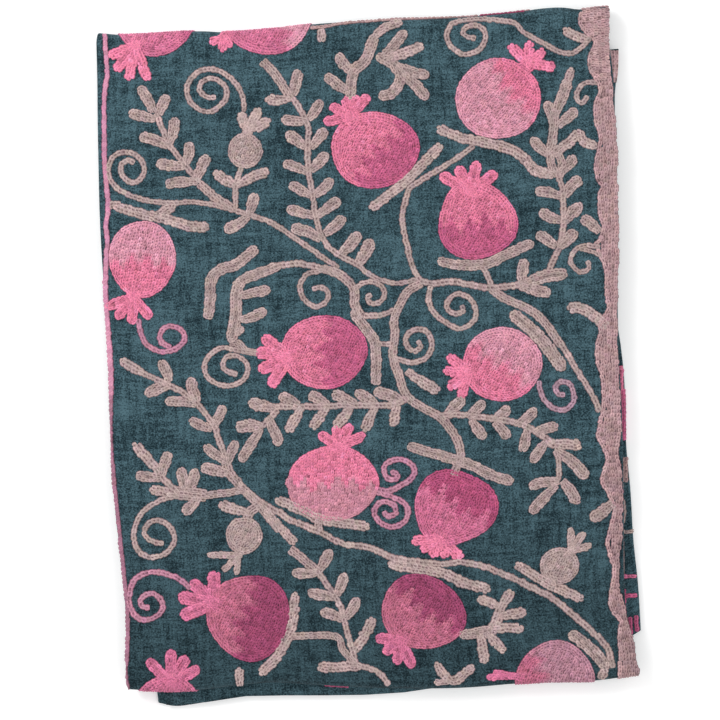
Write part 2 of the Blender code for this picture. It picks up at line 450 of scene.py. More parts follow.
def threadMaterial():
    # loosely plied wool worked in hooked chain: matt and a little hairy, with painted shade where
    # each loop is open and along each link's sunken edges
    material, tree, shader = newMaterial("dyed wool chain stitch")
    colour = node(tree, "ShaderNodeAttribute", {"attribute_name": "thread"})
    place = node(tree, "ShaderNodeUVMap", {"uv_map": "stitch"}).outputs["UV"]
    ply = waves(tree, place, "DIAGONAL", yarn["ply"], *yarn["unevenPlies"])
    fibre = noise(tree, place, *yarn["fibreNoise"])
    pale = weighted(tree, yarn["start"], ((yarn["plyShare"], ply), (yarn["fibreShare"], fibre)))
    lit = node(tree, "ShaderNodeVectorMath", {"operation": "SCALE"},
               {0: colour.outputs["Color"], "Scale": pale})
    # painted shade: the thread's colour darkened by that tint, mixed in by the colour's alpha
    shadedThread = node(tree, "ShaderNodeVectorMath", {"operation": "MULTIPLY"},
               {0: colour.outputs["Color"], 1: yarn["hollow"]})
    base = node(tree, "ShaderNodeMix", {"data_type": "RGBA"},
                {"Factor": colour.outputs["Alpha"], 6: lit.outputs[0], 7: shadedThread.outputs[0]})
    normal = bumped(tree, yarn["rough"], pale)
    setInputs(tree, shader, {"Base Color": base.outputs[2], "Normal": normal,
                             **yarn["surface"]})
    return material


def gridFaces(rows, columns):
    # the quads of a grid whose points run row by row
    corner = np.arange((rows - 1) * columns).reshape(rows - 1, columns)[:, :-1].ravel()
    return np.stack([corner, corner + 1, corner + 1 + columns, corner + columns], 1)


def putMesh(name, points, faces, material):
    mesh = bpy.data.meshes.new(name)
    mesh.vertices.add(len(points))
    mesh.vertices.foreach_set("co", np.ascontiguousarray(points, np.float32).ravel())
    mesh.loops.add(faces.size)
    mesh.loops.foreach_set("vertex_index", faces.astype(np.int32).ravel())
    mesh.polygons.add(len(faces))
    starts = np.arange(0, faces.size, faces.shape[1], dtype=np.int32)
    mesh.polygons.foreach_set("loop_start", starts)
    mesh.update(calc_edges=True)
    mesh.polygons.foreach_set("use_smooth", np.ones(len(faces), bool))
    mesh.materials.append(material)
    piece = bpy.data.objects.new(name, mesh)
    bpy.context.scene.collection.objects.link(piece)
    return piece


def putUv(piece, name, perPoint):
    layer = piece.data.uv_layers.new(name=name)
    index = np.empty(len(piece.data.loops), np.int32)
    piece.data.loops.foreach_get("vertex_index", index)
    layer.data.foreach_set("uv", np.ascontiguousarray(perPoint[index], np.float32).ravel())


def stations(counts):
    # stretch numbers and fractions along them, from one end of the cloth to the other
    codes, fractions = [], []
    for code, count in enumerate(counts):
        codes.append(np.full(count, code))
        fractions.append(np.arange(count) / count)
    codes.append([len(counts) - 1])
    fractions.append([1.0])
    return np.concatenate(codes), np.concatenate(fractions)


def foldedCloth():
    # both faces of the cloth on one grid of stations, half a thickness out each way, and a
    # rim between them
    across, fa = stations(cloth["across"])
    along, fb = stations(cloth["along"])
    rows, columns = len(along), len(across)
    sides = [fold(across[None], fa[None], along[:, None], fb[:, None], h).reshape(-1, 3)
             for h in (cloth["thick"] / 2, -cloth["thick"] / 2)]
    count = rows * columns
    face = gridFaces(rows, columns)
    index = np.arange(count).reshape(rows, columns)
    loop = np.concatenate([index[0], index[1:, -1], index[-1, :-1][::-1], index[1:-1, 0][::-1]])
    after = np.roll(loop, -1)
    rim = np.stack([loop, loop + count, after + count, after], 1)
    faces = np.concatenate([face[:, ::-1], face + count, rim[:, ::-1]])
    piece = putMesh("teal_cloth", np.concatenate(sides), faces, groundMaterial())
    # flat lengths for the weave
    wide, long = cloth["wide"], cloth["long"]
    s = np.concatenate([[0], np.cumsum(wide)])[across] + fa * wide[across]
    t = np.concatenate([[0], np.cumsum(long)])[along] + fb * long[along]
    flat = np.stack(np.broadcast_arrays(s[None, :], t[:, None]), -1).reshape(-1, 2)
    putUv(piece, "flat", np.concatenate([flat, flat]))
    return piece


clothPiece = foldedCloth()
print("cloth:", len(clothPiece.data.polygons), "faces")

thread = {
    "hotPink": "#f088a8", "lightPink": "#e6a2b6", "magenta": "#d16a91", "deepMagenta": "#c25c84",
    "rose": "#de7da0", "beige": "#c0a9a6", "pinkBeige": "#c5a4a3", "mauve": "#c8a5a7",
    "dustyRose": "#cf7893", "dustyMagenta": "#ab5176", "dustyPink": "#c893a4",
    "linePink": "#d190ab", "lineMauve": "#ab778c", "tendril": "#c98ea4", "palePink": "#bf9caa",
    # the flap's mauve is lighter than the band's: painted light on that shaded strip
    "crimson": "#b0476f", "softPink": "#d492a4", "flapMauvePaintedLight": "#ecc5c6",
}
thread = {name: np.array(linear(code)[:3]) for name, code in thread.items()}
# one chain link: stations along it in steps of the pitch, then half-width, strand height and
# middle height there in shares of the whole
link = {
    "at": (-0.14, 0.22, 0.70, 1.14),
    "wide": (0.78, 0.98, 1.0, 0.74),
    "strand": (0.42, 0.96, 1.0, 0.40),
    "middle": (0.34, 0.42, 0.60, 0.30),
    # painted shade in the loop's open middle, at each station
    "hollow": (0.1, 1.0, 0.55, 0.1),
    # painted shade along the link's edges, where it sinks into the ground
    "rim": 1.0,
    "across": (-1.25, -0.66, 0.0, 0.66, 1.25),
    "sunk": 0.12 * mm,
}
# the same with fewer points, for the work under the packet
flatLink = {
    "at": (-0.1, 0.5, 1.1),
    "wide": (0.6, 1.0, 0.55),
    "strand": (0.5, 1.0, 0.45),
    "middle": (0.5, 0.8, 0.45),
    # painted shade in the loop's open middle, at each station
    "hollow": (0.0, 0.7, 0.0),
    # painted shade along the link's edges, where it sinks into the ground
    "rim": 0.5,
    "across": (-1.0, 0.0, 1.0),
    "sunk": 0.12 * mm,
}
# how unevenly the links are laid, dyed and given painted shade, and how far round a fold they still
# go, in radians
hand = {
    "turn": 0.10,
    "shift": 0.045,
    "length": 0.06,
    "width": 0.07,
    "tall": 0.10,
    "tint": 0.02,
    "holeShade": (0.5, 1.2),
    "roundFold": 2.4,
}
made = {}
backPieces = ("inner_flap", "under_flap")
curveStep = 0.6 * mm
perStretch = 14


def evenly(path, step):
    gone = np.concatenate([[0], np.cumsum(np.hypot(*np.diff(path, axis=0).T))])
    count = max(2, int(round(gone[-1] / step)) + 1)
    at = np.linspace(0, gone[-1], count)
    return np.stack([np.interp(at, gone, path[:, i]) for i in range(2)], -1)


def curve(points):
    # a smooth curve through the points, sampled evenly
    points = np.asarray(points, float)
    if len(points) == 2:
        dense = points
    else:
        ends = np.concatenate([[2 * points[0] - points[1]], points, [2 * points[-1] - points[-2]]])
        t = np.linspace(0, 1, perStretch)[:-1][None, :, None]
        a, b, c, d = (ends[i : len(ends) - 3 + i][:, None] for i in range(4))
        dense = 0.5 * (2 * b + (c - a) * t + (2 * a - 5 * b + 4 * c - d) * t**2
                       + (3 * b - a - 3 * c + d) * t**3)
        dense = np.concatenate([dense.reshape(-1, 2), points[-1:]])
    return evenly(dense, curveStep)


def chain(piece, path, colour, width, pitch=4.3 * px, holeShade=0.6, lit=1.0, uneven=0.08,
          loose=1.0, tall=1.15 * mm):
    # a row of chain links along a path on the top panel's plane; the colour is a thread's
    # name or a function of place, the hole's painted shade sets how dark the loops are, lit and
    # uneven set the thread's tone and its spread, and loose how unruly the row is
    if piece not in backPieces:
        path = unroll(path)
    knots = evenly(path, pitch)
    here = (knots[:-1] + knots[1:]) / 2
    way = np.diff(knots, axis=0)
    count = len(here)
    length = np.hypot(*way.T)
    turn = np.arctan2(way[:, 1], way[:, 0]) + rng.normal(0, hand["turn"] * loose, count)
    here = here + rng.normal(0, hand["shift"] * loose, (count, 2)) * width
    if piece not in backPieces:
        # the work stops where the folds turn it under
        past = np.maximum((here[:, 1] - topLine(here[:, 0])) / topRadius,
                          (bottomLine(here[:, 0]) - here[:, 1]) / bottomRadius)
        shown = past < hand["roundFold"]
        here, turn, length, count = here[shown], turn[shown], length[shown], shown.sum()
        if not count:
            return
    tone = colour(here) if callable(colour) else np.broadcast_to(thread[colour], (count, 3))
    tone = tone * lit * rng.normal(1, uneven, (count, 1)) * rng.normal(1, hand["tint"], (count, 3))
    made.setdefault(piece, []).append({
        "here": here,
        "turn": turn,
        "length": length * rng.normal(1, hand["length"], count),
        "width": width * rng.normal(1, hand["width"], count),
        "tall": tall * rng.normal(1, hand["tall"], count),
        "tone": np.clip(tone, 0, 1),
        "holeShade": holeShade * rng.uniform(*hand["holeShade"], count),
    })


def offset(path, away):
    # the path moved sideways; away may change along it
    way = np.gradient(path, axis=0)
    way /= np.maximum(np.hypot(*way.T), 1e-9)[:, None]
    return path + np.stack([-way[:, 1], way[:, 0]], -1) * np.reshape(away, (-1, 1))


# leaves: about how wide a row is and how wide its links are drawn, in photo pixels and rows,
# how soon a leaf reaches its full width, the tones of its outline and its inner rows, its
# least half-width in rows, how much is kept of one too short for a tip, and the bow of one
# whose middle isn't placed
leafWork = {
    "row": 3.9,
    "widens": 2.2,
    "drawn": 1.15,
    "outlineLit": 1.07,
    "innerLit": 0.86,
    "towardTip": 0.75,
    "roundTip": 7,
    "least": 0.1,
    "short": 0.7,
    "bow": 0.06,
    "links": {"pitch": 3.8 * px, "uneven": 0.11, "loose": 1.5},
}


def aroundEnd(middle, reach, way, first, last):
    # an arc about the path's end, from one side to the other
    sweep = np.linspace(first, last, leafWork["roundTip"]) + math.atan2(way[1], way[0])
    return middle + reach * np.stack([np.cos(sweep), np.sin(sweep)], -1)


def leaf(piece, points, colour, tip, base, holeShade=1.15, bar=False):
    # worked up one side, round the blunt tip and down the other, then filled between; widths
    # are in photo pixels, and a bar is as blunt at its start
    path = curve(points)
    f = np.linspace(0, 1, len(path))
    half = (base + (tip - base) * np.minimum(1, leafWork["widens"] * f)) / 2 * px
    across = max(2, round(tip / leafWork["row"]))
    row = tip / across * px
    reach = np.maximum(half - row / 2, leafWork["least"] * row)
    left = (len(path) - 1) * curveStep * (1 - f)
    keep = left > reach[-1]
    if bar:
        keep &= left < left[0] - reach[0]
    if keep.sum() < 3:
        keep = f < leafWork["short"]
    up, down = offset(path, reach)[keep], offset(path, -reach)[keep]
    way = path[-1] - path[-2]
    quarter = math.pi / 2
    turned = aroundEnd(path[keep][-1], reach[-1], way, quarter, -quarter)[1:-1]
    outline = [up, turned, down[::-1]]
    if bar:
        back = aroundEnd(path[keep][0], reach[0], path[1] - path[0], -quarter, -3 * quarter)
        outline.append(back[1:])
    settings = dict(width=row * leafWork["drawn"], holeShade=holeShade, **leafWork["links"])
    chain(piece, np.concatenate(outline), colour, lit=leafWork["outlineLit"], **settings)
    way = way / math.hypot(*way)
    for k in range(1, across - 1):
        share = 2 * k / (across - 1) - 1
        inner = offset(path, reach * share)[keep]
        past = inner[-1] + way * reach[-1] * leafWork["towardTip"] * math.sqrt(1 - share * share)
        chain(piece, np.concatenate([inner, [past]]), colour, lit=leafWork["innerLit"], **settings)


# stems: about how wide a row is in photo pixels, and how links are drawn in one row or more
stemWork = {
    "row": 4.4,
    "links": {"pitch": 4.2 * px, "uneven": 0.10},
    "one": {"drawn": 0.96, "holeShade": 1.05},
    "more": {"drawn": 1.1, "holeShade": 1.3},
}


def strip(piece, points, colour, width):
    # a stem: one row where it is thin, two or more side by side where it is wide
    path = curve(fromPhoto(points))
    count = max(1, round(width / stemWork["row"]))
    row = width / count * px
    work = stemWork["more" if count > 1 else "one"]
    for k in range(count):
        side = (k - (count - 1) / 2) * row
        chain(piece, offset(path, side) if count > 1 else path, colour,
              width=row * work["drawn"], holeShade=work["holeShade"], **stemWork["links"])


# a round's points, its neck's half-width in radians, and how many waves rise how far on it
rounds = {"points": 110, "neckHalf": 0.5, "waves": ((3, 0.012), (5, 0.008))}


def bodyRound(spec, inset, start=0.0):
    # a round of a fruit's body moved in by inset: an ellipse, drawn out towards the crown by
    # neck, longer by broad, given shoulders by pear, and a little wavy
    a = np.linspace(0, 2 * math.pi, rounds["points"]) + start
    rx, ry = (r * px for r in spec["r"])
    away = np.angle(np.exp(1j * (a - spec["toCrown"])))
    reach = (1 + spec["neck"] * np.exp(-((away / rounds["neckHalf"]) ** 2))
             + spec["broad"] * np.cos(2 * away)
             + spec["pear"] * np.cos(3 * away))
    for (count, rise), phase in zip(rounds["waves"], spec["at"]):
        reach = reach + rise * np.cos(count * a + phase)
    shrink = reach * (1 - inset / math.sqrt(rx * ry))
    return spec["middle"] + np.stack([rx * np.cos(a) * shrink, ry * np.sin(a) * shrink], -1)


# fruits: what a fruit has if it says nothing else, in photo pixels and degrees, and how its
# rows are laid; the border between its threads wanders in a close and a broad wave, each with
# a share of the fingers' length and a step in photo pixels, and raggedly from link to link;
# the first round is inset and the last one ends by shares of a row
plainFruit = {
    "rounds": 3,
    "lay": 60,
    "split": 90,
    "shift": 0,
    "fingers": 8,
    "soft": 2.5,
    # painted shade in the body's loops
    "holeShade": 1.15,
    "foot": 14,
    "petal": 9.5,
    "petalBase": 7.0,
    "neck": 0.05,
    "broad": 0.0,
    "pear": 0.0,
}
fruitWork = {
    "row": 3.15,
    "drawn": 1.26,
    "links": {"pitch": 3.2 * px, "uneven": 0.13, "loose": 1.7},
    "edge": {"loose": 0.7, "lit": 1.04},
    "firstIn": 0.45,
    "lastIn": 0.4,
    "rowPoints": 14,
    "bow": 0.10,
    "closeWave": (0.65, 2.6),
    "broadWave": (0.40, 8),
    "ragged": 0.09,
    # painted shade in the petals' loops
    "petalHoleShade": 0.8,
    "footAt": (-8, -2, 3),
    "petalAt": (-0.12, 0.5),
}


def fruit(piece, own):
    # a round body filled with chain, in rounds and then in rows, in two threads that finger
    # into each other; then the crown's petals
    spec = {**plainFruit, **own}
    middle = spec["middle"] = fromPhoto(spec["at"])
    root = fromPhoto(spec["root"])
    spec["toCrown"] = math.atan2(*(root - middle)[::-1])
    row = fruitWork["row"] * px
    split = math.radians(spec["split"]) - photo["turn"]
    toward = np.array([math.cos(split), math.sin(split)])
    first, second = (thread[name] for name in spec["colours"])

    def twoTone(here):
        side = (here - middle) @ np.array([-toward[1], toward[0]])
        wander = rng.normal(0, fruitWork["ragged"], len(here))
        for (share, step), phase in zip((fruitWork["closeWave"], fruitWork["broadWave"]),
                                        spec["at"][::-1]):
            wander += share * np.sin(side / (step * px) + phase)
        over = (here - middle) @ toward + (spec["fingers"] * wander - spec["shift"]) * px
        f = np.clip(over / (spec["soft"] * px) + 0.5, 0, 1)[:, None]
        return second + (first - second) * f

    settings = dict(width=row * fruitWork["drawn"], holeShade=spec["holeShade"], **fruitWork["links"])
    inset, k = row * fruitWork["firstIn"], 0
    radius = min(spec["r"]) * px
    while radius - inset > row * fruitWork["lastIn"] and k < spec["rounds"]:
        outer = {**settings, **fruitWork["edge"]} if k == 0 else settings
        chain(piece, bodyRound(spec, inset, rng.uniform(0, 6)), twoTone, **outer)
        inset += row
        k += 1
    if radius - inset > 0:
        a = math.radians(spec["lay"])
        along, side = np.array([math.cos(a), math.sin(a)]), np.array([-math.sin(a), math.cos(a)])
        inner = bodyRound(spec, inset - row * 0.5) - middle
        out, reach = inner @ side, inner @ along
        for line in np.arange(math.ceil(out.min() / row), out.max() / row) * row:
            crossing = np.nonzero(np.diff(np.sign(out - line)))[0]
            if len(crossing) < 2:
                continue
            ends = np.sort(reach[crossing])[[0, -1]]
            if ends[1] - ends[0] > row:
                # the rows bow out a little in their middles
                f = np.linspace(-1, 1, fruitWork["rowPoints"])[:, None]
                path = (ends.mean() + f * (ends[1] - ends[0]) / 2) * along
                bowed = side * line * (1 + fruitWork["bow"] * (1 - f**2))
                chain(piece, middle + path + bowed, twoTone, **settings)
    # the crown's foot, then its petals
    crownColour = spec.get("crownColour", spec["colours"][0])
    out = (root - middle) / math.hypot(*(root - middle)) * px
    foot = [root + step * out for step in fruitWork["footAt"]]
    leaf(piece, foot, crownColour, tip=spec["foot"], base=spec["foot"])
    for tip in fromPhoto(spec["crown"]):
        petal = [root + (tip - root) * share for share in fruitWork["petalAt"]]
        leaf(piece, [*petal, tip], crownColour, tip=spec["petal"], base=spec["petalBase"],
             holeShade=fruitWork["petalHoleShade"])


# the fruits: middle, half-widths and the crown's root in photo pixels, the
# petals' tips, the threads of the two sides, and the side that the first lies towards
fruits = (
    {"at": (155, 8), "r": (43, 46.5), "root": (136, 45), "colours": ("rose", "magenta"),
     "crown": [(110, 56), (116, 70), (129, 79), (147, 79)], "split": 180, "shift": -27,
     "fingers": 3, "crownColour": "hotPink"},
    {"at": (268, 12), "r": (45, 42), "root": (224, 37), "colours": ("rose", "lightPink"),
     "crown": [(210, 43), (222, 51), (231, 47)], "petal": 8, "split": 180, "shift": -18,
     "soft": 12, "crownColour": "hotPink"},
    {"at": (142.5, 258), "r": (33, 37), "root": (133, 297), "colours": ("lightPink", "hotPink"),
     "crown": [(107, 307), (117, 318), (132, 323), (150, 317)], "shift": -3, "lay": 75,
     "rounds": 1, "neck": 0.08, "crownColour": "hotPink", "petal": 10, "soft": 8},
    {"at": (374.8, 150), "r": (43.6, 37.6), "root": (350, 116), "neck": 0.03, "pear": 0.025,
     "colours": ("hotPink", "magenta"), "split": 138, "shift": -3, "fingers": 11, "petal": 10,
     "crown": [(325, 122), (331, 106), (345, 98), (357, 97), (368, 96)]},
    {"at": (498, 99), "r": (42.2, 39.6), "root": (529, 64), "neck": 0.02, "rounds": 2,
     "crown": [(510, 46), (529, 43), (543, 51), (554, 67)], "colours": ("hotPink", "lightPink"),
     "split": 38, "shift": 14, "lay": 50, "soft": 9},
    {"at": (477, 221.5), "r": (38.8, 38.5), "root": (470, 192), "neck": 0.08, "broad": -0.01,
     "pear": 0.045,
     "crown": [(441, 175), (458, 167), (477, 162), (496, 173)], "petal": 11,
     "colours": ("hotPink", "magenta"), "split": 92, "shift": -1, "fingers": 11, "soft": 2},
    {"at": (324.7, 351.7), "r": (42, 36.3), "root": (288, 357), "neck": 0.06, "pear": -0.015,
     "crown": [(264, 337), (257, 352), (260, 370), (271, 386)], "petal": 12,
     "colours": ("hotPink", "magenta"), "split": 178, "shift": 1, "fingers": 10},
    {"at": (502.4, 364.1), "r": (38.8, 36.5), "root": (469, 372), "neck": 0.03,
     "crown": [(449, 356), (445, 371), (449, 388), (461, 397)], "crownColour": "hotPink",
     "colours": ("lightPink", "hotPink"), "split": 55, "shift": -2, "soft": 12},
    {"at": (332.6, 484), "r": (45.5, 36.5), "root": (339, 447), "neck": 0.06, "rounds": 1,
     "holeShade": 0.7, "crown": [(320, 434), (336, 427), (350, 425), (364, 435)], "petal": 10, "lay": 88,
     "colours": ("hotPink", "softPink"), "shift": 1, "fingers": 9},
    {"at": (455, 506.5), "r": (41, 36.5), "root": (438, 539), "neck": 0.10, "broad": -0.02,
     "pear": 0.06,
     "crown": [(413, 541), (422, 550), (433, 556), (446, 556), (461, 557)],
     "crownColour": "hotPink", "colours": ("deepMagenta", "rose"), "split": 60, "shift": 3,
     "fingers": 11},
    {"at": (249, 617), "r": (41, 42.5), "root": (214, 603), "neck": 0.02, "petal": 12.5,
     "pear": 0.03, "crown": [(214, 573), (192, 582), (180, 597), (182, 616)], "petalBase": 9,
     "crownColour": "rose", "colours": ("dustyRose", "dustyMagenta"), "split": 165, "shift": 6,
     "fingers": 9, "soft": 10},
    {"at": (423, 612), "r": (41, 37), "root": (400, 640), "neck": 0.03, "petal": 10.5,
     "pear": 0.03, "broad": -0.06,
     "crown": [(376, 638), (384, 653), (397, 664), (413, 667)], "crownColour": "rose",
     "colours": ("dustyMagenta", "dustyRose"), "split": 55, "shift": 2, "fingers": 11, "soft": 8},
    {"at": (168, 716), "r": (36, 40), "root": (171, 684), "colours": ("rose", "rose"),
     "crown": [(148, 660), (171, 650), (187, 656), (199, 668)], "petal": 10.5},
    {"at": (555.5, 684), "r": (39.5, 43), "root": (516, 676), "neck": 0.0, "petal": 6,
     "crown": [(487, 677), (494, 672)], "petalBase": 5, "foot": 8, "crownColour": "rose",
     "colours": ("dustyRose", "dustyPink"), "split": 190, "shift": 12, "soft": 14},
)
topFruits = 7
for number, spec in enumerate(fruits):
    fruit("pomegranates_top" if number < topFruits else "pomegranates_bottom", spec)
plainBud = {"colours": ("beige", "beige"), "petalBase": 5.5, "rounds": 2, "foot": 8}
buds = (
    {"at": (245.2, 151), "r": (17, 17), "root": (247, 131), "petal": 9.5,
     "crown": [(241, 113), (259, 110), (269, 121)]},
    {"at": (244.1, 535.4), "r": (17.8, 17.8), "root": (238, 555), "petal": 6.5,
     "crown": [(208, 555), (223, 571), (237, 574)]},
    {"at": (559.3, 565.8), "r": (19.2, 17.8), "root": (571, 551), "petal": 7,
     "crown": [(571, 528), (584, 532), (591, 545)]},
)
for spec in buds:
    fruit("buds", {**plainBud, **spec})

# spirals, tendrils and stems in the order they are worked: a thread, then each one's width
# and middle line
stems = (
    ("beige", (
        (5.2, [(244, 111), (243, 97), (236, 84), (225, 74), (209, 69), (195, 74), (187, 87),
               (189, 100), (197, 108), (209, 112), (221, 105), (227, 94), (223, 84), (212, 78),
               (202, 82), (199.5, 90), (206, 97), (215.5, 98)]),
        (5.4, [(134, 163), (126.5, 160), (120.5, 167), (124, 178), (134, 183), (142, 177),
               (144, 166), (137, 156), (125, 152), (113, 157), (108, 170), (113, 184),
               (126.5, 194), (144, 200), (170, 203), (192, 202), (219, 206), (256, 217),
               (280, 228), (338, 268)]),
        (5.2, [(475, 38), (467, 37), (462, 32), (469.5, 25.5), (480, 27), (485.5, 36), (480, 49),
               (466, 54.5), (453, 49), (446.5, 36), (451.5, 24.5), (463, 20.5), (486, 19),
               (514, 23), (525, 33), (558, 51), (572, 53.5), (581, 47.5), (590, 38.5)]),
        (5, [(598, 83.5), (587, 82.5), (578.5, 88.5), (576.5, 97.5), (582, 104), (587, 96)]),
        (5, [(600, 247), (584, 245.5), (573, 252), (571, 263.5), (580, 272.5), (589, 268.5),
             (587, 261)]),
        (4.2, [(602, 257), (592, 251.5), (580, 249)]),
        (5.2, [(323, 270), (306, 275), (300, 287), (304, 299), (315, 307), (326, 302),
               (328.5, 293), (322, 287), (312.5, 289)]),
        (5.2, [(354, 290), (362, 283.5), (375, 282), (384.5, 290), (382, 300.5), (372, 304),
               (367, 298), (371, 295)]),
        (5.2, [(258, 353), (236, 350), (222, 347.5), (212, 353), (205, 362), (205, 372),
               (212, 381), (226, 386), (241, 382), (248, 371), (245, 361), (236, 355.5),
               (227, 356.5), (222.5, 365), (227.5, 371.5), (237, 374)]),
        (5.4, [(394, 358), (411, 362.5), (426, 358), (432, 344.5), (426, 331), (413.5, 330),
               (405, 339.5), (411, 350.5), (421, 348), (418, 341)]),
        (5.4, [(430.5, 286), (428.5, 300), (436, 315), (455, 327.5), (469.5, 325), (476, 312),
               (469.5, 298), (455.5, 294), (446.5, 304.5), (452.5, 313.5), (463, 312),
               (462, 305.5)]),
        (5.4, [(178, 495), (163, 499.5), (148.5, 507), (138, 519), (134, 533), (137, 549),
               (150, 557), (165.5, 553), (174.5, 541), (171, 528), (160, 520.5), (148.5, 523),
               (144.5, 533), (151, 541), (163, 543.5)]),
    )),
    ("tendril", (
        (5.4, [(138.5, 320), (140, 330), (146, 344), (160.5, 352), (175, 349), (185, 339.5),
               (181.5, 330), (171.5, 326), (163, 328.5), (159.5, 337), (163, 344), (170.5, 347)]),
    )),
    ("palePink", (
        (5.4, [(538.5, 381.5), (542.5, 397), (553, 408), (565.5, 409.5), (574, 399.5),
               (571, 385.5), (562, 381), (555, 386.5), (558, 394), (564.5, 395)]),
    )),
    ("tendril", (
        (5.6, [(190, 588), (181, 580), (165.5, 573.5), (150, 572), (137, 577.5), (130, 590.5),
               (130, 606), (138, 618), (151, 619), (162.5, 610), (160, 598.5), (150, 593),
               (141, 598.5), (141, 606), (149.5, 608)]),
        (5.6, [(377, 489), (390, 490.5), (411, 478.5), (414, 468), (405.5, 460.5), (392.5, 460),
               (383.5, 468), (387.5, 478.5), (397.5, 478.5), (396.5, 472), (391, 473)]),
        (5.6, [(377, 491.5), (403, 502), (408, 512.5), (403, 523), (390, 527), (378, 520.5),
               (374.5, 510), (381, 502), (392.5, 503.5), (396.5, 512.5), (388.5, 516.5),
               (384, 512)]),
    )),
    ("beige", (
        (5.8, [(156, 114), (168, 142), (173, 150), (199, 182)]),
        (8.4, [(199.5, 184), (215, 197), (234, 209.5)]),
        (5.6, [(241, 168), (236, 185), (235.5, 208)]),
        (8.6, [(263, 61), (276, 75.5), (289.5, 96)]),
        (6, [(289, 95), (295.5, 102), (308, 126), (307.5, 145), (309, 174), (312.5, 193),
             (315, 214.5), (322, 237), (328, 246), (341, 256.5), (357.5, 264)]),
        (5, [(357.5, 264), (363, 269.5), (377, 278.5), (396.5, 283), (416, 280)]),
        (5.6, [(473.5, 146), (455, 159.5), (413.5, 185), (408.5, 190), (404, 207), (402.5, 225),
               (412.5, 266.5), (420, 281)]),
        (6.6, [(420, 281), (435.5, 283.5), (455, 282), (489, 288), (519.5, 284.5)]),
        (6.6, [(340, 275), (323.5, 269), (301.5, 264), (282, 265), (269, 268.5)]),
        (8.8, [(323.5, 268.5), (340.5, 275), (354, 289.5), (355, 305.5), (362.5, 317.5)]),
        (6, [(365, 315.5), (379.5, 315.5), (394, 310)]),
        (5.6, [(377, 344), (391, 344)]),
        (8.2, [(421, 283.5), (406.5, 293), (394.5, 317.5), (395, 334.5), (393, 356.5),
               (399, 376), (406.5, 395.5), (421, 406.5), (440.5, 417.5), (452.5, 432),
               (460, 448), (460.5, 465)]),
        (8, [(460, 459), (453.5, 476)]),
        (6.8, [(230, 343), (238, 343), (246, 350.5), (258, 353)]),
        (6, [(140, 371.5), (187.5, 395.5), (212, 422.5), (217, 434), (226.5, 461)]),
        (9, [(226.5, 461), (229, 472), (243.5, 489), (259, 504.5), (280, 530)]),
        (6.6, [(246, 492), (262, 503), (280, 513), (291, 520), (320, 532), (343, 543.5),
               (369, 547.5), (395, 558), (429, 563), (445, 564), (461.5, 562), (494, 570),
               (548, 595.5), (569, 611.5), (591, 630.5), (607, 647), (612.5, 668)]),
        (6.6, [(255, 409), (265, 406.5), (301.5, 406.5), (362.5, 405), (392, 405), (406.5, 398)]),
        (6.4, [(277.5, 410), (263, 426)]),
        (6.6, [(440, 416), (455.5, 414.5), (491.5, 418.5), (519.5, 423.5), (542.5, 435.5),
               (553, 445.5)]),
        (5.2, [(556, 452), (558.5, 461), (558.5, 480)]),
        (6.2, [(483.5, 268), (491.5, 284)]),
        (8.2, [(491.5, 289), (504, 298), (527, 308.5), (542.5, 320), (560.5, 345)]),
        (6.2, [(560.5, 343), (588.5, 389), (600, 411)]),
        (8.6, [(554, 115), (554, 126), (550.5, 152)]),
        (8, [(550.5, 151), (551, 165), (557, 176)]),
        (8, [(557, 152), (562, 164), (559, 176)]),
        (6, [(558, 174), (562.5, 192.5), (562, 236), (549, 271)]),
        (6.4, [(160, 476), (165.5, 481), (178.5, 493)]),
        (12.5, [(175, 492.5), (190, 494), (206, 495.5)]),
        (7, [(205, 495.5), (225, 493), (243.5, 490)]),
        (8.6, [(259, 504.5), (250, 512), (247, 519)]),
        (8, [(318.5, 520), (318.5, 531)]),
        (8.4, [(291, 549), (306.5, 562), (317, 571)]),
        (6, [(317, 570), (338, 601), (343, 616.5), (356, 663)]),
        (6.8, [(292, 636), (335, 636), (343, 650), (355, 663)]),
        (6, [(361, 666), (377, 671), (389, 684)]),
        (10, [(491, 632), (497, 620), (500.5, 609)]),
    )),
)
for colour, rows in stems:
    for width, points in rows:
        strip("vines", points, colour, width)

